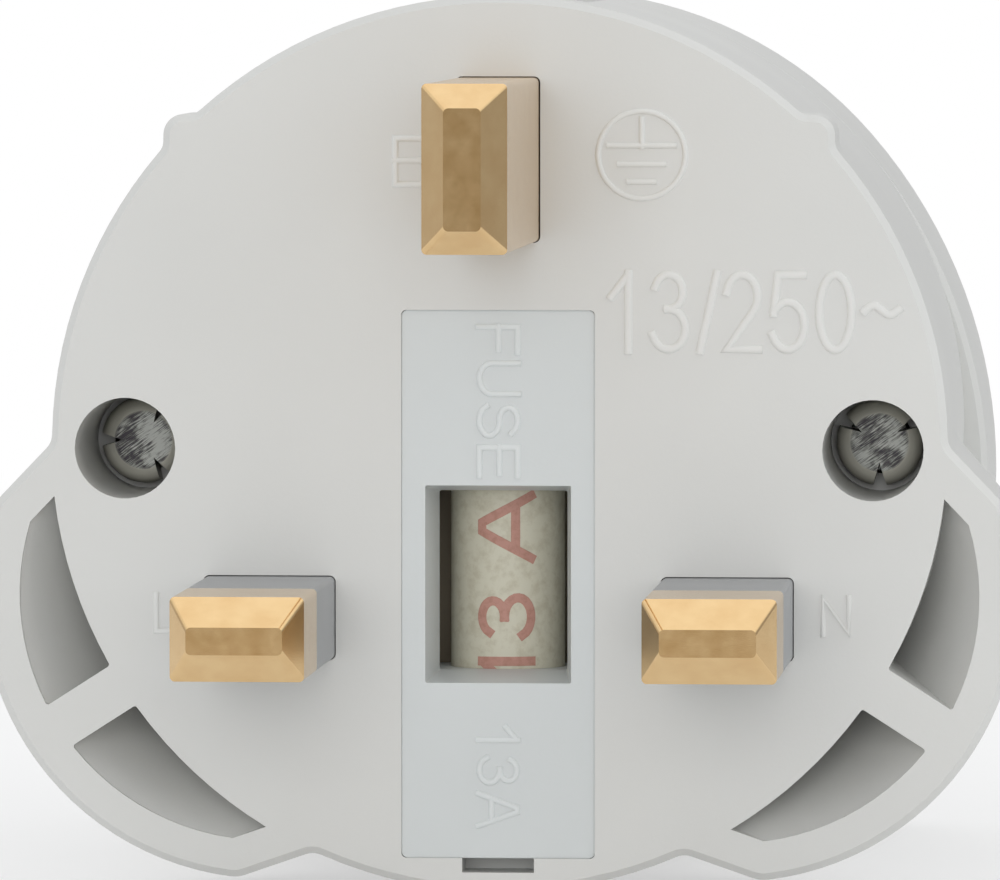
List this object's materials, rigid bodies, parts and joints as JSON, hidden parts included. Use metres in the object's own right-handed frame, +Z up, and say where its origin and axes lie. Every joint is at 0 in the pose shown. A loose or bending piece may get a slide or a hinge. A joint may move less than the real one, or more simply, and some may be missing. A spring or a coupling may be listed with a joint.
{
  "type": "travel adapter with usb",
  "caption": "Round white travel adapter with flat plug pins and a fuse drawer in front, a recessed earthed socket for round-pin plugs behind and a USB charging port on top.",
  "frame": {"origin": "on the barrel's axis, in the plane of the pin face", "axes": "+Z up towards the earth pin, +Y from the pin face back to the socket face, +X towards the neutral pin"},
  "size_m": [0.0504, 0.0672, 0.0434],
  "materials": {
    "housing": "fine moulded satin, warm white",
    "carrier_white": "smooth moulded, cool white",
    "pin_brass": "machined and tumbled",
    "pin_sleeve": "moulded on, satin",
    "fuse_ceramic": "fired tube, cream",
    "fuse_cap": "pressed and nickel plated",
    "contact_brass": "stamped strip",
    "earth_spring": "bent strip, nickel plated",
    "insulator": "moulded, unpainted",
    "shutter_grey": "smooth moulded",
    "spring_steel": "coiled wire",
    "screw_steel": "cold formed, darkened by wear",
    "port_steel": "folded sheet, tin plated",
    "port_black": "moulded",
    "port_gold": "stamped and gold flashed",
    "circuit_board": "laminate with solder mask",
    "ferrite": "pressed and fired",
    "coil_tape": "wound wire under film tape",
    "capacitor_sleeve": "shrunk film over a can",
    "chip_black": "moulded package"
  },
  "bodies": {
    "body": {"pin_shell": "housing", "socket_shell": "housing", "line_pin": "pin_brass", "neutral_pin": "pin_brass", "earth_pin": "pin_brass", "line_sleeve": "pin_sleeve", "neutral_sleeve": "pin_sleeve", "line_clip": "contact_brass", "load_clip": "contact_brass", "neutral_strap": "contact_brass", "line_contact": "contact_brass", "neutral_contact": "contact_brass", "earth_link": "contact_brass", "earth_bracket": "earth_spring", "contact_board": "insulator", "shutter_spring": "spring_steel", "case_screws": "screw_steel", "usb_shell": "port_steel", "usb_tongue": "port_black", "usb_contacts": "port_gold", "usb_board": "circuit_board", "transformer_core": "ferrite", "transformer_coil": "coil_tape", "capacitor": "capacitor_sleeve", "controller": "chip_black"},
    "fuse_drawer": {"fuse_carrier": "carrier_white", "fuse_tube": "fuse_ceramic", "fuse_caps": "fuse_cap"},
    "shutter_slide": {"shutter": "shutter_grey"}
  },
  "joints": [
    {"name": "fuse_drawer_pull", "type": "slide", "parent": "body", "child": "fuse_drawer", "axis": [0, -1, 0], "range_m": [0, 0.0085]},
    {"name": "shutter_open", "type": "slide", "parent": "body", "child": "shutter_slide", "axis": [0, 0, -1], "range_m": [0, 0.006], "stiffness_N_per_m": 150, "deforming": ["shutter_spring"]}
  ]
}
